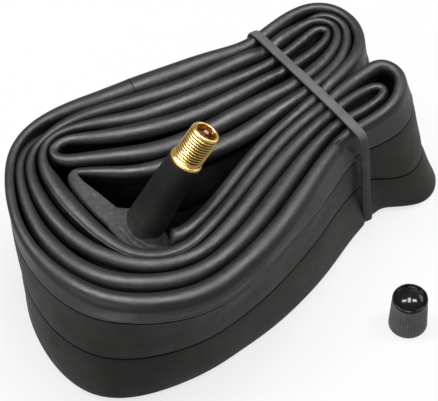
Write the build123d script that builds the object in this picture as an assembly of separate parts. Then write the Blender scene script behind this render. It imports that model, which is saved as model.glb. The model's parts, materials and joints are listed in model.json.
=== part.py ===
"""Bicycle inner tube for a 20 inch wheel: deflated, folded into twelve layers, held by a rubber band.

Frame: +Z up, floor at z = 0, origin under the middle of everything, +X along the folded layers.
The layers stand on edge. The screw cap stands loose beside the tube.
"""
import os
from math import atan2, degrees, hypot, pi, tan

from build123d import *

# ---- driving dimensions, mm ----
TUBE_HEIGHT = 39.5          # flat width of the deflated tube, which stands on edge
TUBE_THICKNESS = 1.6        # two walls of 0.8 mm pressed together
FOOTPRINT_MIDDLE = (1.55, -7.25)

BAND_WIDTH = 2.6            # rubber band
BAND_THICKNESS = 1.0
BAND_MIDDLE = (31.5, 8.25)
BAND_SPAN = 43.6            # outer face to outer face of the squeezed layers
BAND_TURN = 8.0             # degrees from the Y axis

VALVE_BASE = (-26.1, -5.6, 33.0)
VALVE_TILT = 33.0           # degrees from upright
VALVE_HEADING = -8.0        # degrees from +X, which way it leans

PAD_LENGTH = 21.0           # vulcanised pad round the valve
PAD_WIDTH = 12.0
PAD_THICKNESS = 1.2
PAD_TURN = -50.0            # degrees, along the fold
PAD_GAP = 0.3               # the folds beside the pad are cut back by this much all round
SHOULDER_FOOT = (-27.6, -9.4, 8.0)   # where the widened tube under the pad narrows to a flat fold
SHOULDER_FOOT_LENGTH = 10.0

# valve heights are measured along its axis from the pad's top face
RUBBER_TOP = 23.0
RUBBER_BASE_RADIUS = 5.6
RUBBER_TOP_RADIUS = 4.25
RUBBER_FOOT_RADIUS = 7.4
RUBBER_FLARE_TOP = 2.2
STEM_BOTTOM = 4.0
STEM_TOP = 33.5
STEM_CHAMFER = 0.5
STEM_FOOT = 0.4             # the foot of the stem stands out into the rubber by this much
STEM_FOOT_HEIGHT = 1.2
FLANGE_RADIUS = 4.25
FLANGE_THICKNESS = 1.1
THREAD_RADIUS = 3.85        # 7.7 mm valve thread, 32 turns per inch
SHANK_RADIUS = 3.2
AIRWAY_RADIUS = 1.6

# valve core: heights again along the valve axis
CORE_THREAD_RADIUS = 2.60   # 5.2 mm core thread
CORE_CLEARANCE = 0.06
PLUG_BOTTOM = 27.0
PLUG_SHOULDER = 30.2
PLUG_TOP = 31.6
SEAT_TOP = 26.4
SEAT_BOTTOM = 24.6
SEAT_RADIUS = 2.1
BARREL_RADIUS = 1.85
BARREL_BOTTOM = 20.0
BARREL_NECK_RADIUS = 1.25
BARREL_NECK_TOP = 28.5
CHAMBER_RADIUS = 1.4        # the spring's chamber in the barrel
CHAMBER_BOTTOM = 20.9
CHAMBER_TOP = 25.9
NECK_SOCKET_RADIUS = 1.32   # socket in the plug that takes the barrel's neck
NECK_SOCKET_TOP = 28.7
HEAD_RADIUS = 2.2           # the plug's head, with two flats for a valve key
HEAD_ACROSS_FLATS = 2.4
PIN_RADIUS = 0.65
PIN_TOP = 33.3
PIN_BOTTOM = 17.7
COLLAR_RADIUS = 1.25
COLLAR_BOTTOM = 25.4
COLLAR_TOP = 25.8
CUP_RADIUS = 1.75
CUP_WALL = 0.25
CUP_BOTTOM = 18.0
CUP_FLOOR = 18.6
CUP_TOP = 19.6
SPRING_RADIUS = 1.05
SPRING_WIRE_RADIUS = 0.12
SPRING_TURNS = 6

# screw cap
CAP_PLACE = (29.8, -45.1)
CAP_HEIGHT = 12.0
CAP_BASE_RADIUS = 5.0
CAP_TOP_RADIUS = 4.55
CAP_BORE_RADIUS = 3.92
CAP_BORE_DEPTH = 8.6
CAP_SEAL_THICKNESS = 1.3
CAP_SEAL_RADIUS = 4.12      # the seal snaps into a shallow pocket above the thread
CAP_SEAL_HOLE_RADIUS = 1.2
CAP_RIBS = 36
CAP_RIB_BOTTOM = 0.8
CAP_RIB_HEIGHT = 8.4
CAP_RIM_HEIGHT = 10.8
CAP_DOME_RADIUS = 3.85

# The fold line in plan, one closed loop through all twelve layers.
ROUTE = [
    # from the valve forward along the rear bundle, round its outer right-hand turn
    (-21, -15), (-12, -12.5), (10, -3.5), (30, 2), (42, 6),
    (50, 9.5), (55, 15), (56.5, 22), (53.5, 28.5), (46, 31.2),
    # back along the rear, round the left end, and along the front
    (30, 28.2), (10, 28.5), (-10, 33), (-30, 35.2), (-42.5, 31.5),
    (-50, 20), (-54, 4), (-51, -13), (-43, -27),
    (-25, -34), (-8, -30.5), (10, -23.5), (30, -12.5), (42, -10.5),
    # outer front turn, then back inside it and up the left end
    (51, -8.5), (57, -2), (55, 4.5), (48, 3.8), (30, -1),
    (10, -7), (-10, -16.5), (-22, -21), (-32, -16.5),
    (-37, -6), (-39.5, 12), (-39, 23.5),
    # innermost rear turn and the innermost left-hand fold
    (-33, 28.9), (-20, 26.2), (-10, 22.5), (10, 18.5), (30, 19.2),
    (41, 22), (47, 24), (50, 21.5), (46, 18.2),
    (30, 14.7), (10, 13.5), (-10, 17.2), (-22, 21.5), (-30, 26.3), (-35.3, 25.3), (-35.3, 21), (-27, 17),
    # second rear turn
    (-10, 10.2), (10, 9), (30, 9.6), (42, 12.3), (49.7, 17.2),
    (51.8, 22.6), (47.5, 26.4), (40, 25.5), (30, 23.8),
    # second left end, the inner front turn and back
    (10, 23.2), (-10, 27.8), (-26, 30.9), (-37.5, 29.2),
    (-43.5, 22), (-45, 8), (-40.5, -8), (-33, -19.5),
    (-22, -23.8), (-10, -20.5), (10, -11.2), (30, -4.5), (45, -0.5),
    (50.5, -1), (50.5, -4), (44, -6), (30, -8),
    # third left end and the third rear turn
    (10, -17), (-8, -25.5), (-24, -28.5), (-38, -23), (-46, -12),
    (-49.5, 4), (-46.5, 21), (-40.5, 29.8), (-28, 33.1),
    (-10, 30.5), (10, 26), (30, 26), (43, 28.4), (50, 27.3),
    (54.5, 21.8), (52, 15.5), (43, 9.5), (30, 5.4),
    # back to the left and down to the valve
    (10, 2.5), (-8, 4.3), (-20, 7), (-29, 13), (-35.5, 15.5), (-34.5, 6), (-32.5, -3), (-28.5, -11.5),
]


def bend_radii(points):
    """Radius of the bend at each corner, as large as its two runs allow."""
    radii = []
    for i, (x, y) in enumerate(points):
        x0, y0 = points[i - 1]
        x1, y1 = points[(i + 1) % len(points)]
        run_in = hypot(x - x0, y - y0)
        run_out = hypot(x1 - x, y1 - y)
        turn = abs(atan2(y1 - y, x1 - x) - atan2(y - y0, x - x0))
        turn = min(turn, 2 * pi - turn)
        radii.append(0.45 * min(run_in, run_out) / tan(turn / 2))
    return radii


def turned(*profile):
    """Solid of revolution about Z from (radius, height) points."""
    return revolve(make_face(Polyline(*[(r, 0, h) for r, h in profile], close=True)), Axis.Z)


def rod(radius, low, high):
    """Upright cylinder between two heights."""
    return Pos(0, 0, low) * Cylinder(radius, high - low, align=(Align.CENTER, Align.CENTER, Align.MIN))


def ring(outer, inner, low, high):
    """Upright tube between two heights."""
    return rod(outer, low, high) - rod(inner, low, high)


def valve_place():
    """Location that puts a part built along +Z onto the leaning valve axis."""
    return Pos(*VALVE_BASE) * Rot(0, 0, VALVE_HEADING) * Rot(0, VALVE_TILT, 0)


def pad_outline(length, width):
    """Rounded pad outline, turned along the fold, in the plane across the valve axis."""
    return Rot(0, 0, PAD_TURN - VALVE_HEADING) * SlotOverall(length, width)


def make_tube():
    path = FilletPolyline(*ROUTE, radius=bend_radii(ROUTE), close=True)
    outer = offset(path, TUBE_THICKNESS / 2)
    inner = offset(path, -TUBE_THICKNESS / 2)
    walls = make_face(outer) - make_face(inner)
    band = extrude(walls, TUBE_HEIGHT)
    # the tube widens under the valve: a wedge from the flat fold up to the pad
    pad_under = valve_place() * Pos(0, 0, -PAD_THICKNESS) * pad_outline(PAD_LENGTH, PAD_WIDTH)
    foot = Pos(*SHOULDER_FOOT) * Rot(0, 0, PAD_TURN) * SlotOverall(SHOULDER_FOOT_LENGTH, TUBE_THICKNESS)
    shoulder = loft([foot, pad_under])
    above_pad = extrude(pad_outline(PAD_LENGTH + 2 * PAD_GAP, PAD_WIDTH + 2 * PAD_GAP), RUBBER_TOP)
    band -= valve_place() * Pos(0, 0, -PAD_THICKNESS) * above_pad
    tube = band + shoulder
    tube -= valve_place() * rod(AIRWAY_RADIUS, -PAD_THICKNESS - 5, 0)
    # the rubber band presses a shallow groove into the lower edges
    return tube - band_place() * Box(BAND_WIDTH + 0.4, BAND_SPAN + 2, 2 * BAND_THICKNESS)


def make_patch():
    pad = extrude(pad_outline(PAD_LENGTH, PAD_WIDTH), -PAD_THICKNESS)
    return valve_place() * (pad - rod(RUBBER_BASE_RADIUS, -PAD_THICKNESS, 0))


def make_valve_rubber():
    stem_foot_top = STEM_BOTTOM + STEM_FOOT_HEIGHT
    body = turned(
        (AIRWAY_RADIUS, -PAD_THICKNESS), (RUBBER_BASE_RADIUS, -PAD_THICKNESS), (RUBBER_BASE_RADIUS, 0),
        (RUBBER_FOOT_RADIUS, 0), (RUBBER_BASE_RADIUS, RUBBER_FLARE_TOP), (RUBBER_TOP_RADIUS, RUBBER_TOP),
        (SHANK_RADIUS, RUBBER_TOP), (SHANK_RADIUS, stem_foot_top), (SHANK_RADIUS + STEM_FOOT, stem_foot_top),
        (SHANK_RADIUS + STEM_FOOT, STEM_BOTTOM), (AIRWAY_RADIUS, STEM_BOTTOM),
    )
    trim = extrude(pad_outline(PAD_LENGTH, PAD_WIDTH), RUBBER_TOP)
    trim += rod(RUBBER_BASE_RADIUS, -PAD_THICKNESS, RUBBER_TOP)
    return valve_place() * (body & trim)


def make_valve_stem():
    thread_bottom = RUBBER_TOP + FLANGE_THICKNESS
    foot_radius = SHANK_RADIUS + STEM_FOOT
    foot_top = STEM_BOTTOM + STEM_FOOT_HEIGHT
    return valve_place() * turned(
        (SEAT_RADIUS, STEM_BOTTOM), (foot_radius, STEM_BOTTOM), (foot_radius, foot_top),
        (SHANK_RADIUS, foot_top), (SHANK_RADIUS, RUBBER_TOP), (FLANGE_RADIUS, RUBBER_TOP),
        (FLANGE_RADIUS, thread_bottom), (THREAD_RADIUS, thread_bottom),
        (THREAD_RADIUS, STEM_TOP - STEM_CHAMFER), (THREAD_RADIUS - STEM_CHAMFER, STEM_TOP),
        (CORE_THREAD_RADIUS + CORE_CLEARANCE, STEM_TOP),
        (CORE_THREAD_RADIUS + CORE_CLEARANCE, SEAT_TOP), (SEAT_RADIUS, SEAT_BOTTOM),
    )


def make_core_plug():
    neck_socket = rod(NECK_SOCKET_RADIUS, PLUG_BOTTOM, NECK_SOCKET_TOP)
    flats = Box(HEAD_ACROSS_FLATS, 3 * HEAD_RADIUS, 3 * (PLUG_TOP - PLUG_SHOULDER))
    head = rod(HEAD_RADIUS, PLUG_SHOULDER, PLUG_TOP) & (Pos(0, 0, PLUG_SHOULDER) * flats)
    plug = rod(CORE_THREAD_RADIUS, PLUG_BOTTOM, PLUG_SHOULDER) + head
    plug -= neck_socket
    return valve_place() * (plug - rod(PIN_RADIUS + CORE_CLEARANCE, PLUG_BOTTOM, PLUG_TOP))


def make_core_barrel():
    guide = PIN_RADIUS + CORE_CLEARANCE
    shell = rod(BARREL_RADIUS, BARREL_BOTTOM, PLUG_BOTTOM - 0.05)
    shell += rod(BARREL_NECK_RADIUS, BARREL_BOTTOM, BARREL_NECK_TOP)
    chamber = rod(CHAMBER_RADIUS, CHAMBER_BOTTOM, CHAMBER_TOP)
    return valve_place() * (shell - chamber - rod(guide, BARREL_BOTTOM, BARREL_NECK_TOP))


def make_core_gasket():
    slope = (CORE_THREAD_RADIUS + CORE_CLEARANCE - SEAT_RADIUS) / (SEAT_TOP - SEAT_BOTTOM)
    low, high = SEAT_BOTTOM + 0.2, SEAT_TOP - 0.1
    gap = 0.05
    cone = turned(
        (BARREL_RADIUS, low), (SEAT_RADIUS + slope * (low - SEAT_BOTTOM) - gap, low),
        (SEAT_RADIUS + slope * (high - SEAT_BOTTOM) - gap, high), (BARREL_RADIUS, high),
    )
    return valve_place() * cone


def make_core_pin():
    collar = rod(COLLAR_RADIUS, COLLAR_BOTTOM, COLLAR_TOP)
    return valve_place() * (rod(PIN_RADIUS, PIN_BOTTOM, PIN_TOP) + collar)


def make_core_cup():
    cup = rod(CUP_RADIUS, CUP_BOTTOM, CUP_TOP) - rod(CUP_RADIUS - CUP_WALL, CUP_FLOOR, CUP_TOP)
    return valve_place() * (cup - rod(PIN_RADIUS, PIN_BOTTOM, CUP_TOP))


def make_core_seal():
    return valve_place() * ring(CUP_RADIUS - CUP_WALL, PIN_RADIUS, CUP_FLOOR, BARREL_BOTTOM - 0.02)


def make_core_spring():
    low = CHAMBER_BOTTOM + SPRING_WIRE_RADIUS + 0.02
    high = COLLAR_BOTTOM - SPRING_WIRE_RADIUS - 0.02
    coil = Pos(0, 0, low) * Helix((high - low) / SPRING_TURNS, high - low, SPRING_RADIUS)
    section = Plane(coil @ 0, z_dir=coil % 0) * Circle(SPRING_WIRE_RADIUS)
    return valve_place() * sweep(section, coil, is_frenet=True)


def make_cap_shell():
    taper = (CAP_BASE_RADIUS - CAP_TOP_RADIUS) / CAP_RIM_HEIGHT
    bore_top = CAP_BORE_DEPTH + CAP_SEAL_THICKNESS
    rim_top = CAP_RIM_HEIGHT + 0.3
    dome_foot = CAP_RIM_HEIGHT - 0.1
    skirt = turned(
        (CAP_BORE_RADIUS, 0), (CAP_BASE_RADIUS, 0), (CAP_TOP_RADIUS, CAP_RIM_HEIGHT),
        (CAP_TOP_RADIUS - 0.25, rim_top), (CAP_DOME_RADIUS + 0.05, rim_top),
        (CAP_DOME_RADIUS - 0.1, dome_foot), (0, dome_foot), (0, bore_top),
        (CAP_SEAL_RADIUS, bore_top), (CAP_SEAL_RADIUS, CAP_BORE_DEPTH), (CAP_BORE_RADIUS, CAP_BORE_DEPTH),
    )
    dome_rise = CAP_HEIGHT - dome_foot
    ball = (CAP_DOME_RADIUS ** 2 + dome_rise ** 2) / (2 * dome_rise)
    dome = Pos(0, 0, CAP_HEIGHT - ball) * Sphere(ball)
    dome &= rod(CAP_DOME_RADIUS - 0.12, dome_foot - 0.1, CAP_HEIGHT)
    upright = (Align.CENTER, Align.CENTER, Align.MIN)
    groove = Rot(0, -degrees(atan2(taper, 1)), 0) * Cylinder(0.28, CAP_RIB_HEIGHT, align=upright)
    groove = Pos(CAP_BASE_RADIUS + 0.14, 0, CAP_RIB_BOTTOM) * groove
    cap = skirt + dome
    cap -= [Rot(0, 0, 360 * i / CAP_RIBS) * groove for i in range(CAP_RIBS)]
    return Pos(*CAP_PLACE) * cap


def make_cap_seal():
    seal = ring(CAP_SEAL_RADIUS, CAP_SEAL_HOLE_RADIUS, CAP_BORE_DEPTH, CAP_BORE_DEPTH + CAP_SEAL_THICKNESS)
    return Pos(*CAP_PLACE) * seal


def band_place():
    return Pos(*BAND_MIDDLE) * Rot(0, 0, BAND_TURN)


def make_rubber_band():
    height = TUBE_HEIGHT + BAND_THICKNESS
    upright = (Align.CENTER, Align.CENTER, Align.MIN)
    outside = Box(BAND_WIDTH, BAND_SPAN + 2 * BAND_THICKNESS, height, align=upright)
    outside = fillet(outside.edges().filter_by(Axis.X), BAND_THICKNESS)
    inside = Box(BAND_WIDTH + 2, BAND_SPAN, TUBE_HEIGHT - BAND_THICKNESS, align=upright)
    return band_place() * (outside - Pos(0, 0, BAND_THICKNESS) * inside)


PARTS = {
    "tube": make_tube,
    "valve_patch": make_patch,
    "valve_rubber": make_valve_rubber,
    "valve_stem": make_valve_stem,
    "core_plug": make_core_plug,
    "core_barrel": make_core_barrel,
    "core_gasket": make_core_gasket,
    "core_pin": make_core_pin,
    "core_cup": make_core_cup,
    "core_seal": make_core_seal,
    "core_spring": make_core_spring,
    "cap_shell": make_cap_shell,
    "cap_seal": make_cap_seal,
    "rubber_band": make_rubber_band,
}

os.makedirs("parts", exist_ok=True)
for name, make in PARTS.items():
    part = Pos(-FOOTPRINT_MIDDLE[0], -FOOTPRINT_MIDDLE[1], 0) * make()
    export_step(part, f"parts/{name}.step")
    box = part.bounding_box()
    print(name, [round(v, 2) for v in (*box.min, *box.max)], round(part.volume, 1))
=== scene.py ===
"""Looks of the folded inner tube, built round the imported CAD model, in mm until a mesh is made."""
import json
import math

import bpy
import numpy as np
from mathutils import Matrix, Vector


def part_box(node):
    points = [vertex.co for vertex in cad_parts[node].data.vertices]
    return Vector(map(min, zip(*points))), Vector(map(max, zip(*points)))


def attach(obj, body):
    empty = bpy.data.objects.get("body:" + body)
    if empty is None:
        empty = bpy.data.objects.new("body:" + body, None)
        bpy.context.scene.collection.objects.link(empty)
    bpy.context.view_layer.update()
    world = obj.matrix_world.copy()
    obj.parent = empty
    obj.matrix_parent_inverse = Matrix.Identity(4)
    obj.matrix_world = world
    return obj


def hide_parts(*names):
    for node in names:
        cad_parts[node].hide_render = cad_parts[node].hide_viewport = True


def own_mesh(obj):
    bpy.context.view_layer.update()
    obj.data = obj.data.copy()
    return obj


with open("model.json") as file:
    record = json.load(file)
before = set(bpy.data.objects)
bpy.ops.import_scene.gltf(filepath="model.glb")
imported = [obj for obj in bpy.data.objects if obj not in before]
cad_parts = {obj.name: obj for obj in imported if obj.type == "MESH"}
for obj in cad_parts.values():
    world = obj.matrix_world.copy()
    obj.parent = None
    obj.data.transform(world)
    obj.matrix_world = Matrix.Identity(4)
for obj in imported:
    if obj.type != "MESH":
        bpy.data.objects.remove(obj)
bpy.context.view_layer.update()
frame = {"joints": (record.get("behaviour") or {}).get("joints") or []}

MM = 0.001
SHIFT = np.array([-1.55, 7.25])       # from ROUTE's own origin to the part's, the middle of its footprint

# ---- the fold line in plan, the same points as the CAD model's ----
ROUTE = [
    # from the valve forward along the rear bundle, round its outer right-hand turn
    (-21, -15), (-12, -12.5), (10, -3.5), (30, 2), (42, 6), (50, 9.5), (55, 15), (56.5, 22), (53.5, 28.5),
    (46, 31.2),
    # back along the rear, round the left end, and along the front
    (30, 28.2), (10, 28.5), (-10, 33), (-30, 35.2), (-42.5, 31.5), (-50, 20), (-54, 4), (-51, -13),
    (-43, -27), (-25, -34), (-8, -30.5), (10, -23.5), (30, -12.5), (42, -10.5),
    # outer front turn, then back inside it and up the left end
    (51, -8.5), (57, -2), (55, 4.5), (48, 3.8), (30, -1), (10, -7), (-10, -16.5), (-22, -21),
    (-32, -16.5), (-37, -6), (-39.5, 12), (-39, 23.5),
    # innermost rear turn and the innermost left-hand fold
    (-33, 28.9), (-20, 26.2), (-10, 22.5), (10, 18.5), (30, 19.2), (41, 22), (47, 24), (50, 21.5),
    (46, 18.2), (30, 14.7), (10, 13.5), (-10, 17.2), (-22, 21.5), (-30, 26.3), (-35.3, 25.3), (-35.3, 21),
    (-27, 17),
    # second rear turn
    (-10, 10.2), (10, 9), (30, 9.6), (42, 12.3), (49.7, 17.2), (51.8, 22.6), (47.5, 26.4), (40, 25.5),
    (30, 23.8),
    # second left end, the inner front turn and back
    (10, 23.2), (-10, 27.8), (-26, 30.9), (-37.5, 29.2), (-43.5, 22), (-45, 8), (-40.5, -8), (-33, -19.5),
    (-22, -23.8), (-10, -20.5), (10, -11.2), (30, -4.5), (45, -0.5), (50.5, -1), (50.5, -4), (44, -6),
    (30, -8),
    # third left end and the third rear turn
    (10, -17), (-8, -25.5), (-24, -28.5), (-38, -23), (-46, -12), (-49.5, 4), (-46.5, 21), (-40.5, 29.8),
    (-28, 33.1), (-10, 30.5), (10, 26), (30, 26), (43, 28.4), (50, 27.3), (54.5, 21.8), (52, 15.5),
    (43, 9.5), (30, 5.4),
    # back to the left and down to the valve
    (10, 2.5), (-8, 4.3), (-20, 7), (-29, 13), (-35.5, 15.5), (-34.5, 6), (-32.5, -3), (-28.5, -11.5),
]
TOP = 38.8                            # usual height of a fold's top edge
HIDDEN_PASS = range(87, 92)           # corners of ROUTE on the rear pass that lies lower than its neighbours
HIDDEN_TOP = 34.0


# ---------------------------------------------------------------- small helpers
def smoothstep(x):
    x = np.clip(x, 0.0, 1.0)
    return x * x * (3 - 2 * x)


def hump(x, reach):
    """1 at zero, fading to nothing on both sides."""
    return np.exp(-(x / reach) ** 2)


def spline(values, u):
    """Closed quadratic B-spline through per-corner values at parameters u (corner units)."""
    values = np.asarray(values, float)
    count = len(values)
    i = np.floor(u).astype(int) % count
    t = u - np.floor(u)
    before, here, after = values[(i - 1) % count], values[i], values[(i + 1) % count]
    t = t.reshape((-1,) + (1,) * (values.ndim - 1))
    return 0.5 * (1 - t) ** 2 * before + 0.5 * (-2 * t * t + 2 * t + 1) * here + 0.5 * t * t * after


def ring_smooth(values, width):
    """Gaussian smoothing round a closed loop; width in samples."""
    reach = int(3 * width) + 1
    kernel = np.exp(-0.5 * (np.arange(-reach, reach + 1) / width) ** 2)
    kernel /= kernel.sum()
    out = np.zeros_like(values, dtype=float)
    for k, weight in zip(range(-reach, reach + 1), kernel):
        out += weight * np.roll(values, -k, axis=0)
    return out


def ring_min(values, reach):
    """Smallest value within reach samples on both sides, round a closed loop."""
    return np.min([np.roll(values, k) for k in range(-reach, reach + 1)], axis=0)


def make_mesh(name, points, faces, material, smooth=True):
    """New mesh object from points in mm."""
    mesh = bpy.data.meshes.new(name)
    mesh.from_pydata([tuple(MM * c for c in p) for p in points], [], faces)
    mesh.validate()
    mesh.update()
    piece = bpy.data.objects.new(name, mesh)
    bpy.context.scene.collection.objects.link(piece)
    mesh.materials.append(material)
    mesh.polygons.foreach_set("use_smooth", [smooth] * len(mesh.polygons))
    return piece


def grid_faces(rows, columns, close_rows=False):
    """Quads of a grid closed along its columns, whose point (r, c) has index r * columns + c."""
    faces = []
    for r in range(rows if close_rows else rows - 1):
        r2 = (r + 1) % rows
        for c in range(columns):
            c2 = (c + 1) % columns
            faces.append((r * columns + c, r * columns + c2, r2 * columns + c2, r2 * columns + c))
    return faces


# ---------------------------------------------------------------- materials
class Nodes:
    """Short way to write a node material."""

    def __init__(self, name):
        self.material = bpy.data.materials.new(name)
        self.material.use_nodes = True
        self.tree = self.material.node_tree
        self.shader = self.tree.nodes["Principled BSDF"]

    def add(self, kind, **settings):
        node = self.tree.nodes.new(kind)
        for key, value in settings.items():
            setattr(node, key, value)
        return node

    def link(self, source, target):
        self.tree.links.new(source, target)

    def set(self, **values):
        for key, value in values.items():
            self.shader.inputs[key.replace("_", " ")].default_value = value

    def noise(self, scale, detail=3.0, roughness=0.5):
        place = self.add("ShaderNodeTexCoord")
        noise = self.add("ShaderNodeTexNoise")
        noise.inputs["Scale"].default_value = scale
        noise.inputs["Detail"].default_value = detail
        noise.inputs["Roughness"].default_value = roughness
        self.link(place.outputs["Object"], noise.inputs["Vector"])
        return noise.outputs["Fac"]

    def ramp(self, source, stops):
        ramp = self.add("ShaderNodeValToRGB")
        elements = ramp.color_ramp.elements
        while len(elements) < len(stops):
            elements.new(0.5)
        for element, (place, colour) in zip(elements, stops):
            element.position = place
            element.color = (*colour, 1)
        self.link(source, ramp.inputs["Fac"])
        return ramp.outputs["Color"]

    def bump(self, source, strength, distance):
        bump = self.add("ShaderNodeBump")
        bump.inputs["Strength"].default_value = strength
        bump.inputs["Distance"].default_value = distance
        self.link(source, bump.inputs["Height"])
        self.link(bump.outputs["Normal"], self.shader.inputs["Normal"])


def greys(low, high, start=0.3, end=0.7):
    """Stops of a ramp from one grey to another."""
    return [(start, (low,) * 3), (end, (high,) * 3)]


def mottled(name, shine, tint, grain, rough, rough_grain):
    """Material with a mottled colour and an uneven roughness.

    A grain is a noise's scale, detail and roughness. tint and rough are stops of a ramp over that noise.
    """
    n = Nodes(name)
    n.set(Specular_IOR_Level=shine)
    n.link(n.ramp(n.noise(*grain), tint), n.shader.inputs["Base Color"])
    n.link(n.ramp(n.noise(*rough_grain), rough), n.shader.inputs["Roughness"])
    return n


# A less reflective copy of the tube's rubber, painted shade: it darkens the faces below the upper mould line
# and the pressed sides down in the valleys
def shaded_face_material():
    tint = [(0.35, (0.004, 0.004, 0.0033)), (0.7, (0.011, 0.011, 0.0095))]
    n = mottled("butyl_rubber_face_painted_shade", 0.12, tint, grain=(70, 4, 0.6), rough=greys(0.5, 0.62),
                rough_grain=(130, 4, 0.6))
    n.bump(n.noise(110, 7, 0.7), strength=0.35, distance=0.0008)
    return n.material


def tube_material(name="butyl_rubber", shine=0.22):
    tint = [(0.35, (0.0012, 0.0012, 0.0013)), (0.66, (0.003, 0.003, 0.003)), (0.78, (0.02, 0.02, 0.019))]
    n = mottled(name, shine, tint, grain=(800, 5, 0.7), rough=greys(0.38, 0.58, 0.35, 0.65),
                rough_grain=(60, 6, 0.65))
    n.bump(n.noise(110, 7, 0.7), strength=0.35, distance=0.0010)
    return n.material


# Near-black, dull rubber, painted shade: it darkens the grooves of the mould lines and draws the splice seam
# as a dark groove that the mesh doesn't cut
def groove_shade_material():
    n = mottled("mould_line", 0.05, greys(0.001, 0.003), grain=(300,), rough=greys(0.7, 0.85),
                rough_grain=(300,))
    return n.material


def dusty_rubber_material():
    tint = [(0.35, (0.008, 0.008, 0.008)), (0.62, (0.014, 0.0145, 0.014)), (0.72, (0.04, 0.04, 0.038))]
    n = mottled("dusty_rubber", 0.12, tint, grain=(900, 4, 0.7), rough=greys(0.7, 0.85), rough_grain=(300,))
    n.bump(n.noise(1500, 4, 0.6), strength=0.25, distance=0.0003)
    return n.material


# heights above the floor, in metres, between which dust gathers on the valve's rubber
DUST_TOP = 0.044
DUST_FULL = 0.031


def valve_rubber_material():
    clean = [(0.3, (0.001, 0.001, 0.001)), (0.7, (0.003, 0.0028, 0.0025))]
    dust = [(0.35, (0.005, 0.005, 0.0045)), (0.7, (0.016, 0.016, 0.014))]
    n = Nodes("moulded_valve_rubber")
    n.set(Specular_IOR_Level=0.1)
    place = n.add("ShaderNodeTexCoord")
    split = n.add("ShaderNodeSeparateXYZ")
    n.link(place.outputs["Object"], split.inputs["Vector"])
    low = n.add("ShaderNodeMapRange")
    low.inputs["From Min"].default_value = DUST_TOP
    low.inputs["From Max"].default_value = DUST_FULL
    n.link(split.outputs["Z"], low.inputs["Value"])
    mix = n.add("ShaderNodeMix", data_type="RGBA")
    n.link(low.outputs["Result"], mix.inputs["Factor"])
    n.link(n.ramp(n.noise(160, 4, 0.6), clean), mix.inputs["A"])
    n.link(n.ramp(n.noise(900, 4, 0.7), dust), mix.inputs["B"])
    n.link(mix.outputs["Result"], n.shader.inputs["Base Color"])
    n.link(n.ramp(n.noise(200), greys(0.55, 0.7)), n.shader.inputs["Roughness"])
    n.bump(n.noise(1600, 4, 0.6), strength=0.2, distance=0.0002)
    return n.material


def metal_material(name, bright, dark, roughness):
    n = mottled(name, 0.5, [(0.3, dark), (0.65, bright)], grain=(260, 4, 0.6),
                rough=greys(roughness - 0.05, roughness + 0.08), rough_grain=(500,))
    n.set(Metallic=1.0)
    return n.material


def plastic_material(name, shine, grey, roughness):
    n = mottled(name, shine, greys(*grey), grain=(700, 4, 0.7), rough=greys(*roughness), rough_grain=(400,))
    n.bump(n.noise(1800, 4, 0.6), strength=0.08, distance=0.0001)
    return n.material


def band_material():
    tint = [(0.3, (0.015, 0.0155, 0.0155)), (0.7, (0.026, 0.027, 0.027))]
    n = mottled("rubber_band", 0.15, tint, grain=(220, 4, 0.6), rough=greys(0.65, 0.78), rough_grain=(300,))
    n.bump(n.noise(2500, 4, 0.6), strength=0.25, distance=0.0001)
    return n.material


# ---------------------------------------------------------------- the tube
STATION_STEP = 1.5           # distance between cross-sections along a straight fold
STATION_TURN = 10.5          # degrees between them round a tight one
FREE_BEAD = 2.6              # half width of a fold's rounded edge where nothing presses on it
PRESSED = 0.95               # half thickness of two walls pressed together
FREE_FACE = 2.2              # half thickness under a free face
THINNEST = 0.8               # least half thickness of an edge or a foot between its neighbours
HIDDEN_BEAD = 0.85           # half width of the lower pass's edge
HALF_GAP = 0.03              # half the space left between two layers
FREE_ROOM = 7.0              # a side with more room than this begins to count as free
FREE_ROOM_RUN = 6.0          # and is wholly free this much further
NECK = 6.5                   # height over which a rounded edge narrows to the pressed walls
FOOT_RADIUS = 2.2            # height of the rounded foot
MOULD_LINES = {"right": (31.0, 15.6), "left": (33.6, 18.6)}     # usual heights, upper and lower
# how far the two mould lines of the outer face stand from their usual heights, by corner of ROUTE
UPPER_LINE = {16: 0.4, 17: 1.5, 18: 3.4, 19: 4.5, 20: 5.1, 21: 2.4, 22: -0.8, 23: -1.3, 24: -0.9, 25: 0.1}
LOWER_LINE = {16: 0.6, 17: 1.5, 18: 2.6, 19: 2.0, 20: 2.8, 21: 4.0, 22: 3.2, 23: -2.0, 24: -3.4, 25: -2.7}
# how far the outer face swells out at its upper mould line
SHOULDER = {17: 0.6, 18: 1.6, 19: 2.1, 20: 2.1, 21: 1.8, 22: 0.9, 23: 0.6, 24: 0.9, 25: 0.6}
# height of the thin moulding flash on the shoulder of the left-hand side of a top edge
FLASH = {17: 0.10, 18: 0.14, 19: 0.12, 20: 0.08, 31: 0.12, 32: 0.16, 33: 0.16, 34: 0.12}
SCALLOP = 0.35               # how far a face swells between its mould lines
GROOVE = 0.4                 # depth of a mould line
# the fold that carries the valve: corner of ROUTE, its top edge in plan, its height,
# the half width of its top and how far that top is rolled (left side lower), per mm
VALVE_FOLD = {
    101: ((-35.0, 14.0), 38.4, 1.5, -0.4),
    102: ((-34.0, 7.0), 37.8, 2.6, 0.0),
    103: ((-31.7, -0.8), 36.2, 3.0, 0.1),
    104: ((-27.3, -8.5), 32.6, 4.2, 0.25),
    0: ((-22.5, -16.6), 29.7, 4.0, 0.35),
}
SEAT_CORNERS = (102, 103, 104, 0)
DUSTY_FROM = 101.15          # corner parameter where the dust on the seat starts
SEAT_END = 0.26              # corner parameter where the low seat of the valve steps up to the next fold
SEAT_STEP = 0.22
# the fold past the step: height, half width and roll at corners of ROUTE, and its top edge in plan
AFTER_SEAT = {0: (38.0, 2.3, 0.0), 1: (38.2, 2.2, 0.0)}
NEXT_TOP = {1: (-11.2, -13.0)}
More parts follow.
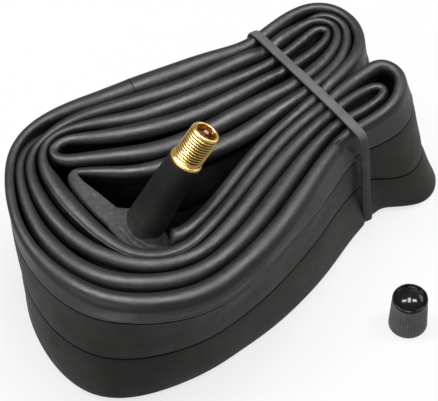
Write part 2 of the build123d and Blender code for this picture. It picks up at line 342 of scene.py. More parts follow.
# half width of the rounded top edge at corners of ROUTE where it differs from FREE_BEAD
EDGE_WIDTHS = {
    1: 1.6, 2: 1.6, 3: 1.7, 4: 1.7, 5: 1.7, 6: 1.7, 7: 1.7, 8: 1.7, 9: 1.7, 10: 1.6, 11: 3.0, 12: 3.4,
    13: 1.8, 14: 1.2, 15: 1.2, 16: 1.5, 17: 2.2, 22: 1.6, 23: 1.5, 24: 1.6, 25: 1.6, 26: 1.6,
    40: 1.4, 41: 1.3, 42: 1.2, 43: 1.2, 44: 1.3, 45: 1.4, 49: 1.9, 50: 1.6, 51: 1.8,
    73: 1.4, 74: 1.3, 75: 1.2, 76: 1.2, 77: 1.3, 78: 1.4, 99: 2.1, 100: 1.7,
}
KNOT = 22.6                  # corner parameter of the crumple beside the rubber band
# the crease of the outer face there: height, corner parameter, depth past it
CREASE = ((4.0, 22.80, 0.6), (23.7, 22.74, 0.8), (30.2, 22.67, 1.0), (34.8, 22.56, 1.5), (38.5, 22.42, 1.0))
CORNER_RUN = 12              # mm along the fold from one corner of ROUTE to the next, near the crease
SPLICE = 12.36               # corner parameter where the two ends of the tube are joined
# half width, in corner parameter, of the splice rows painted near-black as the shade of a groove
SPLICE_WIDE = 0.012
BAND_WIDE = 2.5
BAND_THICK = 0.9
BAND_LINE = ((27.7, 28.9), (38.2, -11.8))      # where the rubber band passes under the foot, in plan
BAND_PRESS = ((28.6, 29.0), (33.6, -11.0))     # and over the top edges
PRESS_HALF = 1.5             # distance from the band's middle within which it presses the top edges level
PRESS_RUN = 4.0              # and over which that fades
PRESS_DEPTH = 0.1            # how far under TOP the pressed edges are
LIFT_MARGIN = 0.2            # distance from the band's side within which it lifts the foot
LIFT_RUN = 1.2
# where cross-sections stand closer together: corner parameter, reach, how much closer
CLOSER = ((KNOT, 0.3, 3.0), (SPLICE, 0.05, 4.0))

# how far the foot of the bundle stands out from its top, in plan
LEAN_RIGHT = 2.0             # to the right, in the middle
LEAN_SPREAD = 0.055          # and more of it per mm to the right
LEAN_FRONT = 5.0             # to the front, at the right-hand end
LEAN_FRONT_FROM = -20.0      # where that begins
LEAN_FRONT_RUN = 45.0        # and over what length it grows
# where the top edges and the foot stand away from that lean: place in plan, how far it reaches, shift
TOP_SHIFTS = (
    ((-45, 28), 28, (-0.7, -2.2)), ((5, 27), 28, (1.1, -0.3)), ((50, 22), 28, (-1.1, -1.1)),
    ((-50, -10), 28, (-1.0, -1.0)), ((0, -15), 28, (0.9, -0.3)), ((50, -5), 28, (0.1, -0.4)),
)
FOOT_SHIFTS = (
    ((-50, 18), 18, (4.0, -0.6)), ((-46, -22), 18, (-3.2, -1.9)), ((-20, -32), 18, (0.5, 2.0)),
    ((10, -25), 18, (0.4, 1.3)), ((38, -13), 18, (3.2, 4.2)), ((58, -6), 18, (1.9, -4.9)),
)
# where the rubber band squeezes the bundle
TOP_SQUEEZE = (((25, 31), 9, (0.0, -1.3)), ((33.5, -11), 6, (0.0, 0.5)))
FOOT_SQUEEZE = (((38, -13), 4.5, (0.0, 1.7)), ((48, -11), 7, (0.3, -1.2)))
# at the right-hand end the faces stay under their top edges for longer and flare out near the foot
FLARE = 0.35
FLARE_FROM = 34.0
FLARE_RUN = 16.0


def stations():
    """Parameters along the fold line, closer together in tight folds, at the crumple and at the splice."""
    fine = np.arange(0, len(ROUTE), 0.04)
    points = spline(ROUTE, fine)
    ahead = np.roll(points, -1, axis=0) - points
    step = np.linalg.norm(ahead, axis=1)
    heading = np.unwrap(np.arctan2(ahead[:, 1], ahead[:, 0]))
    bend = np.append(np.abs(np.diff(heading)), 0.0)
    closer = 1 + sum(extra * hump(fine - place, reach) for place, reach, extra in CLOSER)
    effort = np.cumsum(step / STATION_STEP * closer + bend / math.radians(STATION_TURN))
    effort = np.concatenate([[0], effort])
    count = int(effort[-1])
    return np.interp(np.arange(count) * effort[-1] / count, effort, np.append(fine, len(ROUTE)))


def lean(points):
    """How far the foot of the bundle stands out from its top, in plan."""
    x = points[:, 0]
    right = LEAN_RIGHT + LEAN_SPREAD * x
    front = -LEAN_FRONT * smoothstep((x - LEAN_FRONT_FROM) / LEAN_FRONT_RUN)
    return np.column_stack([right, front])


def shifted(points, shifts):
    """Sum of local shifts of points in plan, each fading with the distance from its own place."""
    out = np.zeros_like(points)
    for place, reach, shift in shifts:
        away = np.linalg.norm(points - place, axis=1)
        out += hump(away, reach)[:, None] * np.array(shift)
    return out


def left_of(line):
    """Unit vectors to the left of a closed line."""
    tangent = np.roll(line, -1, axis=0) - np.roll(line, 1, axis=0)
    tangent /= np.linalg.norm(tangent, axis=1)[:, None]
    return np.stack([-tangent[:, 1], tangent[:, 0]], axis=1)


OPEN_ROOM = 60.0             # room of a side with no layer beside it
OWN_FOLD = 4.0               # length along the tube that counts as the station's own layer
LOOK_WIDTH = 1.6             # half width of the strip in which the next layer is looked for


def side_room(line, along, total, skip):
    """Distance to the next layer on the left and on the right of each station."""
    normal = left_of(line)
    room = {side: np.full(len(line), OPEN_ROOM) for side in ("left", "right")}
    for i in range(len(line)):
        away = line - line[i]
        arc = np.abs(along - along[i])
        arc = np.minimum(arc, total - arc)
        beside = away @ normal[i]
        ahead = away @ np.array([normal[i][1], -normal[i][0]])
        near = (arc > OWN_FOLD) & (np.abs(ahead) < LOOK_WIDTH) & ~skip
        for side, sign in (("left", 1), ("right", -1)):
            found = sign * beside[near & (sign * beside > 0)]
            if len(found):
                room[side][i] = found.min()
    return room


def wave(s, *terms):
    """Sum of slow sines along the tube: (length, size, phase)."""
    return sum(size * np.sin(2 * np.pi * s / length + phase) for length, size, phase in terms)


def per_corner(usual, u, at):
    """A value for each station from one usual value and some corners' own."""
    values = np.full(len(ROUTE), float(usual))
    for corner, value in at.items():
        values[corner] = value
    return spline(values, u)


def line_distance(points, line):
    """Distance of each point in plan from a straight line through two places."""
    start, end = np.array(line, float)
    ahead = (end - start) / np.linalg.norm(end - start)
    away = points - start
    return np.abs(away[:, 0] * ahead[1] - away[:, 1] * ahead[0])


def along_fold(u, past_seat, usual, row, at):
    """A value for each station that changes over from the valve's fold to the next one at the seat's end."""
    valve = {corner: values[row + 1] for corner, values in VALVE_FOLD.items()}
    after = {corner: values[row] for corner, values in AFTER_SEAT.items()}
    seated = per_corner(usual, u, {**at, **valve})
    onward = per_corner(usual, u, {**at, **after})
    return seated + (onward - seated) * past_seat


def top_places():
    """Corners of the top edges' line in plan, before the bundle's lean."""
    places = np.array(ROUTE, float)
    for corner, values in VALVE_FOLD.items():
        places[corner] = values[0]
    for corner, place in NEXT_TOP.items():
        places[corner] = place
    return places


def fold_shape():
    """Everything the tube's cross-section follows, for each station."""
    u = stations()
    middle = ring_smooth(spline(ROUTE, u), 1.0)
    step = np.linalg.norm(np.roll(middle, -1, axis=0) - middle, axis=1)
    along = np.concatenate([[0], np.cumsum(step)[:-1]])
    hidden = per_corner(0, u, {corner: 1 for corner in HIDDEN_PASS})
    # 0 up to the end of the valve's seat, 1 once the fold has stepped up from it
    past_seat = np.where(u < len(ROUTE) / 2, smoothstep((u - SEAT_END) / SEAT_STEP), 0.0)
    seat = per_corner(0, u, {corner: 1 for corner in SEAT_CORNERS}) * (1 - past_seat)
    wide = along_fold(u, past_seat, FREE_BEAD, 1, EDGE_WIDTHS)
    roll = along_fold(u, past_seat, 0, 2, {})
    height = along_fold(u, past_seat, TOP, 0, {corner: HIDDEN_TOP for corner in HIDDEN_PASS})
    height += (1 - seat) * wave(along, (61, 0.3, 0.3), (37, 0.2, 1.9), (143, 0.45, 4.0))

    tilt = lean(middle)
    shift = spline(top_places(), u) - spline(ROUTE, u)
    usual = per_corner(1, u, {corner: 0 for corner in VALVE_FOLD})[:, None]
    top_line = middle + shift + usual * (shifted(middle, TOP_SHIFTS) - 0.5 * tilt)
    top_line += shifted(middle, TOP_SQUEEZE)
    foot_line = middle + 0.5 * tilt - 0.5 * shift + shifted(middle, FOOT_SHIFTS + FOOT_SQUEEZE)

    # the band presses the top edges level and lifts the foot by its own thickness
    pressed = 1 - smoothstep((line_distance(top_line, BAND_PRESS) - PRESS_HALF) / PRESS_RUN)
    height += (np.minimum(height, TOP - PRESS_DEPTH) - height) * pressed
    beyond = line_distance(foot_line, BAND_LINE) - BAND_WIDE / 2 - LIFT_MARGIN
    lift = BAND_THICK * (1 - smoothstep(beyond / LIFT_RUN))
    return dict(u=u, along=along, total=step.sum(), hidden=hidden, wide=wide, roll=roll, height=height,
                lift=lift, seat=seat, top=top_line, foot=foot_line)


def side_shape(shape, side):
    """Half thicknesses of the top edge, the face and the foot on one side, and how free the side is."""
    hidden = shape["hidden"]
    skip = hidden > 0.5
    top_room = side_room(shape["top"], shape["along"], shape["total"], skip)[side]
    foot_room = side_room(shape["foot"], shape["along"], shape["total"], skip)[side]
    free = smoothstep((np.minimum(top_room, foot_room) - FREE_ROOM) / FREE_ROOM_RUN)
    bead = np.clip(np.minimum(top_room / 2 - HALF_GAP, shape["wide"]), THINNEST, None)
    bead = ring_smooth(ring_min(bead, 2), 2.5)
    face = PRESSED + (FREE_FACE - PRESSED) * free
    foot = np.clip(foot_room / 2 - HALF_GAP, THINNEST, FREE_FACE)
    foot = ring_smooth(ring_min(foot, 2), 2.5)
    face = ring_smooth(np.minimum(np.minimum(face, bead), foot), 3)
    bead = bead + (np.minimum(bead, HIDDEN_BEAD) - bead) * hidden
    face = np.minimum(face, bead)
    foot = np.minimum(foot, 0.5 * (face + FREE_FACE))
    return bead, face, foot, ring_smooth(free, 3)


def dents(u, z):
    """How far the outer face is pushed in beside the rubber band, at each corner parameter and height."""
    heights, places, depths = zip(*CREASE)
    beyond = (u - np.interp(z, heights, places)) * CORNER_RUN
    depth = np.interp(z, heights, depths)
    recess = smoothstep(beyond / 0.7) * np.exp(-np.clip(beyond, 0, None) / 2.8)
    lip = 0.3 * hump(beyond, 0.8) * (beyond < 0.3)
    pinch = 0.6 * hump(beyond + 0.2, 0.45) * smoothstep((z - 34.5) / 2)
    return depth * (recess - lip) + pinch


# a cross-section's points on one side: angles round the top edge (1 where the flash stands up), then levels
EDGE_ANGLES = ((70, 0), (54, 0), (43, 0), (39, 1), (35, 0), (18, 0), (0, 0))
CUT = ((0.7, 0), (0.3, 0.1), (0.0, 1), (-0.3, 0.1), (-0.7, 0))     # across a mould line: height, depth
NECK_LEVELS = 7
FACE_LEVELS = 8
FOOT_LEVELS = 4
FOOT_ANGLES = (0, 25, 50, 72)
# points down one side from the top: where the rounded edge ends, the bottoms of the two mould lines, and all
EDGE_END = len(EDGE_ANGLES)
UPPER_CUT = EDGE_END + NECK_LEVELS + len(CUT) // 2
LOWER_CUT = UPPER_CUT + len(CUT) + FACE_LEVELS
SIDE_POINTS = EDGE_END + NECK_LEVELS + 2 * len(CUT) + FACE_LEVELS + FOOT_LEVELS + len(FOOT_ANGLES)


def between(high, low, count):
    """Even levels from one height to another, without the ends."""
    return [high + (low - high) * (k + 1) / (count + 1) for k in range(count)]


def mould_line_heights(shape, side):
    """Heights of the upper and the lower mould line at each station."""
    drift = wave(shape["along"], (420, 0.8, 0.5), (130, 0.4, 2.0))
    upper, lower = (line + drift for line in MOULD_LINES[side])
    if side == "right":
        upper += per_corner(0, shape["u"], UPPER_LINE)
        lower += per_corner(0, shape["u"], LOWER_LINE)
    return upper, lower


def side_column(shape, side, cap_rise):
    """(height, half thickness) of each point from the top edge down to the foot on one side."""
    bead, face, foot, free = side_shape(shape, side)
    u = shape["u"]
    outer = side == "right"
    crown = shape["height"] - cap_rise           # where the rounded top edge begins
    flatter = 1 - 0.5 * shape["seat"]
    flash = 0 if outer else per_corner(0, u, FLASH)
    swell = per_corner(0, u, SHOULDER) * free if outer else 0 * u
    dent = dents if outer else lambda u, z: 0

    edge = []
    for angle, raised in EDGE_ANGLES:
        a = math.radians(angle)
        rise = (cap_rise + flash * raised) * math.sin(a) ** flatter
        edge.append((crown + rise, (bead + flash * raised) * math.cos(a) ** flatter))

    upper, lower = mould_line_heights(shape, side)
    neck = NECK + 3.0 * np.clip(shape["wide"] - FREE_BEAD, 0, 5)
    neck = np.clip(crown - upper - 0.9, 2.0, neck)
    for k in range(NECK_LEVELS):
        part = (k + 1) / NECK_LEVELS
        down = (1 - free) * smoothstep(part) + free * part * (0.5 + 0.5 * part)
        edge.append((crown - neck * part, bead + (face + swell - bead) * down))
    column = [(z, out - dent(u, z)) for z, out in edge]

    upper = np.minimum(upper, crown - neck - 0.9)
    lower = np.minimum(lower, upper - 6)
    levels = [(upper + d, depth) for d, depth in CUT]
    levels += [(z, 0) for z in between(upper, lower, FACE_LEVELS)]
    levels += [(lower + d, depth) for d, depth in CUT]
    levels += [(z, 0) for z in between(lower, 3.0, FOOT_LEVELS)]
    for z, depth in levels:
        from_line = np.minimum(np.abs(z - upper), np.abs(z - lower))
        bulge = SCALLOP * (0.3 + 0.7 * free) * (1 - hump(from_line, 2.5)) - GROOVE * depth
        bulge += swell * np.exp(-np.clip(upper - z, 0, None) / 5)
        column.append((z, face + (foot - face) * smoothstep((6.0 - z) / 4.0) + bulge - dent(u, z)))
    for angle in FOOT_ANGLES:
        a = math.radians(angle)
        column.append((shape["lift"] + FOOT_RADIUS * (1 - math.sin(a)), foot * math.cos(a) + 0.3 * SCALLOP))
    return column


def tube_points(shape):
    """Points of every station's closed cross-section: top, left side, foot, right side from the foot up."""
    height, top, foot = shape["height"], shape["top"], shape["foot"]
    beads = [side_shape(shape, side)[0] for side in ("left", "right")]
    cap_rise = np.clip(0.5 * (beads[0] + beads[1]), 1.0, 2.4 - 1.0 * shape["seat"])
    top_normal, foot_normal = left_of(top), left_of(foot)
    flare = 1 - FLARE * smoothstep((top[:, :1] - FLARE_FROM) / FLARE_RUN)

    def place(z, n):
        z = np.broadcast_to(z, height.shape)
        n = np.broadcast_to(n, height.shape)
        f = np.clip(z / height, 0, 1)[:, None] ** flare
        normal = foot_normal * (1 - f) + top_normal * f
        normal /= np.linalg.norm(normal, axis=1)[:, None]
        plan = foot * (1 - f) + top * f + normal * n[:, None] + SHIFT
        rolled = z - shape["roll"] * n * smoothstep((f[:, 0] - 0.55) / 0.4)
        return np.column_stack([plan, rolled])

    loops = [place(height, 0.0)]
    loops += [place(z, n) for z, n in side_column(shape, "left", cap_rise)]
    loops += [place(shape["lift"], 0.0)]
    loops += [place(z, -n) for z, n in reversed(side_column(shape, "right", cap_rise))]
    return np.stack(loops, axis=1)


# the tube's kinds of surface, in the order of its material slots: plain rubber, the dusty seat, painted shade
# in the mould lines and the splice, a less reflective copy painted as shade on faces, and a shinier copy
# painted as sheen on shoulders
ON_EDGE, ON_SEAT, ON_SHADED_LINE, ON_SHADED_FACE, ON_SHEENED_SHOULDER = range(5)


def paint_tube(piece, shape, columns):
    """Gives each face of the tube its kind of surface."""
    # the columns either side of each mould line's middle, and the splice's rows, get the painted groove shade
    centres = [1 + UPPER_CUT, 1 + LOWER_CUT, 2 * SIDE_POINTS + 1 - UPPER_CUT, 2 * SIDE_POINTS + 1 - LOWER_CUT]
    line_columns = {c - 1 for c in centres} | set(centres)
    # how far down its side each column is
    depth_of = [0, *range(SIDE_POINTS), *range(SIDE_POINTS, -1, -1)]
    free = {side: side_shape(shape, side)[3] > 0.5 for side in ("left", "right")}
    seated = (shape["u"] > DUSTY_FROM) | (shape["u"] < SEAT_END)
    spliced = np.abs(shape["u"] - SPLICE) < SPLICE_WIDE
    for face in piece.data.polygons:
        row, column = divmod(face.vertices[0], columns)
        depth = depth_of[column]
        on_free = free["left" if column <= SIDE_POINTS else "right"][row]
        if column in line_columns or spliced[row]:
            kind = ON_SHADED_LINE
        elif seated[row]:
            kind = ON_SEAT
        # faces below the upper mould line, and pressed sides under their top edges, get the copy painted as
        # shade
        elif depth > UPPER_CUT or (depth > EDGE_END and not on_free):
            kind = ON_SHADED_FACE
        # free shoulders between the top edge and the upper mould line get the shinier copy painted as sheen
        else:
            kind = ON_SHEENED_SHOULDER if depth > EDGE_END else ON_EDGE
        face.material_index = kind


def tube_piece():
    shape = fold_shape()
    points = tube_points(shape)
    rows, columns = points.shape[:2]
    faces = grid_faces(rows, columns, close_rows=True)
    piece = make_mesh("folded_tube", points.reshape(-1, 3), faces, tube_material())
    piece.data.materials.append(dusty_rubber_material())
    # painted shade for the mould lines and the splice
    piece.data.materials.append(groove_shade_material())
    # less reflective copy, painted shade on the faces and in the valleys
    piece.data.materials.append(shaded_face_material())
    # a shinier copy of the tube's rubber, painted sheen that brightens the free shoulders under the top edges
    piece.data.materials.append(tube_material("butyl_rubber_shoulder_painted_sheen", 0.36))
    paint_tube(piece, shape, columns)
    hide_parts("tube")
    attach(piece, "folded_tube")


# ---------------------------------------------------------------- the valve
CORE_HEIGHT = 27.0           # where the valve core's turning joint stands on the valve's axis


def valve_frame():
    """Places a part built along +Z, in mm above the pad, onto the valve's axis."""
    turn = next(j for j in frame["joints"] if j["name"] == "plug_turn")
    axis = Vector(turn["axis"]).normalized()
    base = Vector(turn["pos_m"]) / MM - CORE_HEIGHT * axis
    across = (Vector((0, 0, 1)) - axis * axis.z).normalized()
    return Matrix.Translation(base) @ Matrix((-across, axis.cross(-across), axis)).transposed().to_4x4()


def turned_piece(name, profile, material, place, around=64, shape=None, second=None, is_second=None):
    """Surface of revolution from (radius, height) points, closed as a loop.

    shape(angle, r, h) may move a point. Faces where is_second(angle, r, h) holds get the second material.
    """
    points = []
    for r, h in profile:
        for k in range(around):
            angle = 2 * math.pi * k / around
            r2, h2 = shape(angle, r, h) if shape else (r, h)
            points.append(place @ Vector((r2 * math.cos(angle), r2 * math.sin(angle), h2)))
    piece = make_mesh(name, points, grid_faces(len(profile), around, close_rows=True), material)
    if second:
        piece.data.materials.append(second)
        for face in piece.data.polygons:
            row, column = divmod(face.vertices[0], around)
            face.material_index = int(is_second(2 * math.pi * column / around, *profile[row]))
    return piece


STEM_FOOT = 4.0              # height of the stem's lower end above the pad
FLANGE_TOP = 5.2
FLANGE = 3.6                 # radii of the stem
SHANK = 3.2
RUBBER_TOP = 23.0            # height of the rubber body, where the collar sits
OUTER = 3.85
THREAD_PITCH = 0.794
THREAD_DEPTH = 0.42
THREAD_FROM = 24.5
THREAD_TO = 33.1
THREAD_START = 0.5           # length over which the thread grows to its depth, and over which it runs out
THREAD_END = 0.4
THREAD_RELIEF = 0.25         # how much narrower the outlet is without a thread
LEVELS_PER_TURN = 9


def thread_phase(angle, h):
    """Place across the thread, from one crest to the next."""
    return (h / THREAD_PITCH - angle / (2 * math.pi)) % 1.0


def threaded(angle, r, h):
    """Cuts the thread into the points of the outlet's outer radius."""
    if r != OUTER:
        return r, h
    crest = min(1.0, 1.25 * abs(2 * thread_phase(angle, h) - 1))
    grown = min(1.0, max(0.0, (h - THREAD_FROM) / THREAD_START), max(0.0, (THREAD_TO - h) / THREAD_END))
    return r - THREAD_DEPTH * (1 - crest) * grown - THREAD_RELIEF * (1 - grown), h


def in_root(angle, r, h):
    """True in the dark bottom of the thread."""
    cut = THREAD_FROM + THREAD_START < h < THREAD_TO - THREAD_END
    return r == OUTER and cut and abs(thread_phase(angle, h) - 0.45) < 0.24


def stem_piece(place, material, root_material):
    levels = int((THREAD_TO - THREAD_FROM) / (THREAD_PITCH / LEVELS_PER_TURN))
    foot = [(2.1, STEM_FOOT), (FLANGE, STEM_FOOT), (FLANGE, FLANGE_TOP), (SHANK, FLANGE_TOP)]
    collar = [(SHANK, RUBBER_TOP), (4.05, RUBBER_TOP), (4.25, 23.15), (4.3, 23.5), (4.28, 23.85),
              (4.1, 24.05), (3.75, 24.12), (3.6, 24.3)]
    thread = [(OUTER, THREAD_FROM + (THREAD_TO - THREAD_FROM) * k / levels) for k in range(levels + 1)]
    rim = [(3.5, 33.28), (3.36, 33.42), (3.2, 33.5), (2.9, 33.5), (2.74, 33.42), (2.68, 33.25)]
    inner_thread = [(2.66 + 0.1 * (k % 2), 33.1 - 0.3 * k) for k in range(1, 9)]
    bore = [(2.66, 30.4), (2.66, 26.4), (2.1, 24.6)]
    profile = foot + collar + thread + rim + inner_thread + bore
    piece = turned_piece("threaded_stem", profile, material, place, around=72, shape=threaded,
                         second=root_material, is_second=in_root)
    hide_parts("valve_stem")
    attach(piece, "folded_tube")


BEND_TOWARD = Vector((0.87, -0.5, 0.0))       # the soft foot of the valve bends this way
BEND = 1.5                                    # its full size, which the foot doesn't quite reach
BEND_HEIGHT = 21.0                            # height above the pad where it begins


def bent(place, angle, h):
    """How much wider the bent foot is on this side of the valve's axis."""
    toward = place.to_3x3().inverted() @ BEND_TOWARD
    amount = BEND * smoothstep((BEND_HEIGHT - h) / (1.3 * BEND_HEIGHT))
    return amount * (toward.x * math.cos(angle) + toward.y * math.sin(angle))


def valve_rubber_piece(place, material):
    def leaning(angle, r, h):
        skin = 3.7                            # what lies inside this radius stays on the axis
        return (r, h) if r < skin else (r + bent(place, angle, h), h)

    foot, top = (5.2, 1.8), (4.32, 22.6)
    parts = (0.08, 0.16, 0.25, 0.35, 0.45, 0.55, 0.65, 0.75, 0.85, 0.93, 1.0)
    boss = [(1.6, -1.2), (5.4, -1.2), (5.8, -1.0), (5.6, 0.0), (5.38, 0.9), foot]
    taper = [(foot[0] + (top[0] - foot[0]) * f ** 0.8, foot[1] + (top[1] - foot[1]) * f) for f in parts]
    lip = [(4.27, 22.85), (4.12, 22.98), (3.9, RUBBER_TOP)]
    socket = [(SHANK, RUBBER_TOP), (SHANK, FLANGE_TOP), (FLANGE, FLANGE_TOP), (FLANGE, STEM_FOOT),
              (1.6, STEM_FOOT)]
    piece = turned_piece("valve_rubber_body", boss + taper + lip + socket, material, place, shape=leaning)
    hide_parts("valve_rubber")
    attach(piece, "folded_tube")


PAD_TURN = math.radians(-42)                  # of the pad's long axis about the valve's axis
PAD_START = 4.9                               # radius where the pad meets the rubber body
PAD_LONG = 10.4                               # half lengths of its oval edge
PAD_SHORT = 7.1
PAD_HIDDEN_RING = (4.0, -2.6)                 # radius and height of the last ring, inside the rubber


def pad_piece(place, material):
    """Wrinkled pad that blends the valve into the tube."""
    around = 96
    rings = 22

    angles = [2 * math.pi * j / around for j in range(around)]

    def point(a, r, h):
        return place @ Vector((r * math.cos(a + PAD_TURN), r * math.sin(a + PAD_TURN), h))

    points = []
    for k in range(rings):
        f = k / (rings - 1)
        swing = math.sin(math.pi * f)
        for a in angles:
            edge = 1.0 / math.hypot(math.cos(a) / PAD_LONG, math.sin(a) / PAD_SHORT)
            h = 2.6 * (1 - f) ** 4 - 0.35 - 2.2 * f ** 2.2
            wrinkle = 0.18 * math.sin(7 * math.pi * f + 1.5 * math.sin(2 * a))
            h += swing * (0.08 * math.sin(11 * a + 2.0) + wrinkle)
            points.append(point(a, PAD_START + (edge - PAD_START) * f + bent(place, a + PAD_TURN, 0), h))
    points += [point(a, *PAD_HIDDEN_RING) for a in angles]
    piece = make_mesh("valve_pad", points, grid_faces(rings + 1, around, close_rows=True), material)
    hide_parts("valve_patch")
    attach(piece, "folded_tube")


def spring_piece(place, material):
    """Coil spring under the pin's collar, built at one length; the real one shortens as the pin goes down."""
    turns = 6
    radius = 1.05
    wire = 0.12                               # radius of the wire
    low = 21.04
    high = 25.26
    around = 8
    count = 32 * turns
    points = []
    for k in range(count + 1):
        angle = 2 * math.pi * turns * k / count
        out = Vector((math.cos(angle), math.sin(angle), 0))
        middle = radius * out + Vector((0, 0, low + (high - low) * k / count))
        for j in range(around):
            a = 2 * math.pi * j / around
            points.append(place @ (middle + wire * (math.cos(a) * out + math.sin(a) * Vector((0, 0, 1)))))
    faces = grid_faces(count + 1, around)
    faces += [tuple(range(around)), tuple(range((count + 1) * around - 1, count * around - 1, -1))]
    piece = make_mesh("core_coil_spring", points, faces, material)
    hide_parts("core_spring")
    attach(piece, "core_body")
    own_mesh(piece)


# ---------------------------------------------------------------- the cap
CAP_RIBS = 40
RIB_DEPTH = 0.22
RIB_FROM = 0.5
RIB_TO = 9.9
RIB_FADE = 0.5
CAP_HEIGHT = 12.0
CAP_FOOT = 5.0               # radii of the cap's skirt
CAP_SHOULDER = 4.58
CAP_BORE = 3.92
SEAL_ROOM = 4.12             # radius of the room for the washer
SEAL_BOTTOM = 8.6
SEAL_TOP = 9.9
DOME_RADIUS = 3.92
DOME_RISE = 1.8
GLOSS_FROM = 10.2            # height where the smooth, glossy top begins


def ribbed(angle, r, h):
    """Cuts the grip ribs into the cap's skirt."""
    if r < 4.3 or not RIB_FROM < h < RIB_TO:
        return r, h
    fade = min(1.0, (h - RIB_FROM) / RIB_FADE, (RIB_TO - h) / RIB_FADE)
    return r - RIB_DEPTH * fade * (0.5 - 0.5 * math.cos(CAP_RIBS * angle)) ** 1.5, h


def cap_dome():
    """Upper part of a ball that stands DOME_RISE over a circle of DOME_RADIUS."""
    ball = (DOME_RADIUS ** 2 + DOME_RISE ** 2) / (2 * DOME_RISE)
    radii = [DOME_RADIUS * math.cos(math.pi / 2 * k / 9.3) for k in range(1, 10)]
    return [(r, CAP_HEIGHT - ball + math.sqrt(ball ** 2 - r * r)) for r in radii]


def cap_piece(material, gloss):
    low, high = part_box("cap_shell")
    middle = [(low[k] + high[k]) / 2 / MM for k in (0, 1)]
    place = Matrix.Translation((middle[0], middle[1], low[2] / MM))
    parts = (0.02, 0.05, 0.09, 0.14, 0.3, 0.5, 0.7, 0.86, 0.9, 0.94, 0.96)
    foot = [(CAP_BORE, 0.0), (4.75, 0.0), (4.92, 0.06)]
    skirt = [(CAP_FOOT + (CAP_SHOULDER - CAP_FOOT) * f, 10.9 * f) for f in parts]
    groove = [(4.52, 10.8), (4.42, 10.98), (4.28, 11.0), (4.16, 10.92), (4.08, 10.7), (4.02, 10.4),
              (3.96, 10.25)]
    inside = [(0.02, CAP_HEIGHT), (0.02, SEAL_TOP), (SEAL_ROOM, SEAL_TOP), (SEAL_ROOM, SEAL_BOTTOM),
              (CAP_BORE, SEAL_BOTTOM)]
    profile = foot + skirt + groove + cap_dome() + inside
    piece = turned_piece("ribbed_cap", profile, material, place, around=CAP_RIBS * 8, shape=ribbed,
                         second=gloss, is_second=lambda angle, r, h: h > GLOSS_FROM)
    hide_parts("cap_shell")
    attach(piece, "screw_cap")


# ---------------------------------------------------------------- the rubber band
BAND_ROUTE = [
    # slanting over the top edges from front to rear, down the rear, under the feet and up the front
    (33.9, -11.6, 39.4), (33.0, -4, 39.6), (31.8, 5, 39.6), (30.4, 15, 39.5), (29.0, 25, 39.4),
    (28.4, 30.0, 39.2), (28.1, 31.8, 37.8), (28.0, 32.0, 30), (27.8, 31.0, 15), (27.7, 29.8, 4),
    (27.8, 29.0, 0.45), (28.9, 24, 0.45), (33.0, 8, 0.45), (36.9, -8, 0.45), (38.0, -12.3, 0.5),
    (37.7, -13.1, 3.5), (36.2, -13.9, 11), (35.2, -14.5, 20), (34.6, -14.4, 29), (34.3, -13.8, 35.5),
    (34.2, -13.3, 38.6),
]
BAND_CORNER = 0.28           # how far the band's section is rounded at its corners
BAND_CHAMFER = 0.08


def band_section():
    """(sideways, outward) points round the band's section, with its outer corners rounded."""
    w = BAND_WIDE / 2
    t = BAND_THICK / 2
    r = BAND_CORNER
    c = BAND_CHAMFER
    outer = [(w, t - r), (w - c, t - c), (w - r, t), (0, t + 0.02), (-w + r, t), (-w + c, t - c), (-w, t - r)]
    inner = [(-w, -t + r), (-w + r, -t), (w - r, -t), (w, -t + r)]
    return outer + inner


def band_piece(material):
    """Flat band stretched round the bundle."""
    route = np.array(BAND_ROUTE, float)
    line = spline(route, np.arange(0, len(route), 0.08))
    ahead = np.roll(line, -1, axis=0) - np.roll(line, 1, axis=0)
    ahead /= np.linalg.norm(ahead, axis=1)[:, None]
    out = line - route.mean(axis=0)
    out[:, 0] = 0
    out -= (out * ahead).sum(axis=1)[:, None] * ahead
    out /= np.linalg.norm(out, axis=1)[:, None]
    out = ring_smooth(out, 4)
    sideways = np.cross(out, ahead)
    section = band_section()
    shift = np.array([*SHIFT, 0])
    points = []
    for k in range(len(line)):
        for w, t in section:
            points.append(line[k] + w * sideways[k] + t * out[k] + shift)
    faces = grid_faces(len(line), len(section), close_rows=True)
    piece = make_mesh("stretched_band", points, faces, material)
    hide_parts("rubber_band")
    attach(piece, "folded_tube")


# ---------------------------------------------------------------- stage, lights, camera
VIEW_TURN = math.radians(-30)
VIEW_RISE = math.radians(52)
VIEW_DISTANCE = 640.0
VIEW_TARGET = Vector((SHIFT[0], SHIFT[1], 20.0))
LENS = 205.5
FLOOR_HALF = 3000
FLOOR_LEVEL = -0.05
FLOOR_GREY = (0.035, 0.035, 0.035, 1)
FLOOR_GLOW = 0.77
SKY_TOP = 0.4                # brightness of the sky overhead, where the horizon is 1
SKY_STRENGTH = 0.72
# lamps, in metres: middle of the softbox row in plan, its spacing and height
ROW_MIDDLE = (0.04, 0.06)
ROW_SPACING = 0.42
ROW_HEIGHT = 0.8


def camera():
    back = Vector((math.sin(VIEW_TURN) * math.cos(VIEW_RISE), -math.cos(VIEW_TURN) * math.cos(VIEW_RISE),
                   math.sin(VIEW_RISE)))
    data = bpy.data.cameras.new("camera")
    data.lens = LENS
    data.sensor_width = 36
    data.clip_end = 100
    eye = bpy.data.objects.new("camera", data)
    eye.location = MM * (VIEW_TARGET + VIEW_DISTANCE * back)
    eye.rotation_euler = back.to_track_quat("Z", "Y").to_euler()
    bpy.context.scene.collection.objects.link(eye)
    bpy.context.scene.camera = eye


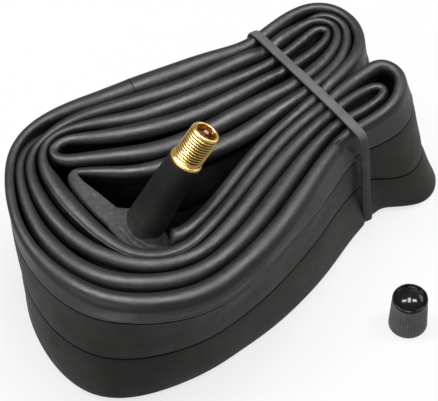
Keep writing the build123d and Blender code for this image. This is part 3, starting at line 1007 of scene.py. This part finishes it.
def floor_piece():
    n = Nodes("pale_floor")
    n.set(Base_Color=FLOOR_GREY, Roughness=0.9, Specular_IOR_Level=0.1, Emission_Color=(1, 1, 1, 1),
          Emission_Strength=FLOOR_GLOW)
    # the part of the floor that the bundle hides gives no light of its own
    hidden = Nodes("floor_under_tube")
    hidden.set(Base_Color=FLOOR_GREY, Roughness=0.9, Specular_IOR_Level=0.1)
    outline = [(FLOOR_HALF * x, FLOOR_HALF * y) for x, y in ((-1, -1), (1, -1), (1, 1), (-1, 1))]
    under_tube = [(-44, -10), (44, 2), (44, 30), (-44, 30)]
    corners = [(x, y, FLOOR_LEVEL) for x, y in outline + under_tube]
    faces = [(0, 1, 5, 4), (1, 2, 6, 5), (2, 3, 7, 6), (3, 0, 4, 7), (4, 5, 6, 7)]
    floor = make_mesh("floor", corners, faces, n.material, smooth=False)
    floor.data.materials.append(hidden.material)
    floor.data.polygons[-1].material_index = 1


def sky():
    """Studio surroundings, brightest at the horizon."""
    world = bpy.data.worlds.new("studio")
    world.use_nodes = True
    tree = world.node_tree
    direction = tree.nodes.new("ShaderNodeTexCoord")
    split = tree.nodes.new("ShaderNodeSeparateXYZ")
    ramp = tree.nodes.new("ShaderNodeValToRGB")
    horizon, overhead = ramp.color_ramp.elements
    horizon.position = 0.0
    horizon.color = (1, 1, 1, 1)
    overhead.position = 0.6
    overhead.color = (SKY_TOP, SKY_TOP, SKY_TOP, 1)
    tree.links.new(direction.outputs["Generated"], split.inputs["Vector"])
    tree.links.new(split.outputs["Z"], ramp.inputs["Fac"])
    tree.links.new(ramp.outputs["Color"], tree.nodes["Background"].inputs["Color"])
    tree.nodes["Background"].inputs["Strength"].default_value = SKY_STRENGTH
    bpy.context.scene.world = world


def area_light(name, place, target, size, power):
    data = bpy.data.lights.new(name, "AREA")
    data.shape = "RECTANGLE"
    data.size, data.size_y = size
    data.energy = power
    lamp = bpy.data.objects.new(name, data)
    lamp.location = place
    lamp.rotation_euler = (Vector(place) - Vector(target)).to_track_quat("Z", "Y").to_euler()
    bpy.context.scene.collection.objects.link(lamp)


def lights():
    """Three overhead softboxes in a row across the view, and a panel at each side."""
    for k in (-1, 0, 1):
        x = ROW_SPACING * k * math.cos(VIEW_TURN) + ROW_MIDDLE[0]
        y = ROW_SPACING * k * math.sin(VIEW_TURN) + ROW_MIDDLE[1]
        area_light(f"softbox_{k + 2}", (x, y, ROW_HEIGHT), (0.4 * x, 0.4 * y, 0), size=(0.2, 0.36), power=15)
    tube_middle = (0, 0, 0.03)
    area_light("left_panel", (-1.15, -0.55, 0.32), tube_middle, size=(1.6, 0.5), power=13)
    area_light("right_panel", (1.15, 0.0, 0.35), tube_middle, size=(0.6, 0.5), power=5)


# ---------------------------------------------------------------- build
camera()
floor_piece()
sky()
lights()
bpy.context.scene.view_settings.view_transform = "Standard"

brass = metal_material("brass", (0.50, 0.35, 0.12), (0.38, 0.25, 0.07), 0.27)
root_brass = metal_material("tarnished_brass", (0.13, 0.07, 0.015), (0.06, 0.03, 0.008), 0.4)
pin_metal = metal_material("pin_metal", (0.70, 0.47, 0.40), (0.55, 0.34, 0.27), 0.3)
dull_brass = metal_material("core_brass", (0.26, 0.12, 0.045), (0.16, 0.07, 0.02), 0.4)
spring_steel = metal_material("spring_steel", (0.45, 0.45, 0.46), (0.30, 0.30, 0.31), 0.3)
rubber = valve_rubber_material()
plastic = plastic_material("black_plastic", 0.25, (0.020, 0.045), (0.42, 0.55))
gloss_plastic = plastic_material("glossy_plastic", 0.12, (0.002, 0.003), (0.09, 0.14))

tube_piece()
valve = valve_frame()
stem_piece(valve, brass, root_brass)
valve_rubber_piece(valve, rubber)
pad_piece(valve, dusty_rubber_material())
spring_piece(valve, spring_steel)
cap_piece(plastic, gloss_plastic)
band_piece(band_material())

CARRIED_OVER = {
    "core_plug": dull_brass, "core_barrel": dull_brass, "core_gasket": rubber, "core_pin": pin_metal,
    "core_cup": dull_brass, "core_seal": rubber, "cap_seal": rubber,
}
for node, material in CARRIED_OVER.items():
    for slot in bpy.data.objects[node].material_slots:
        slot.material = material
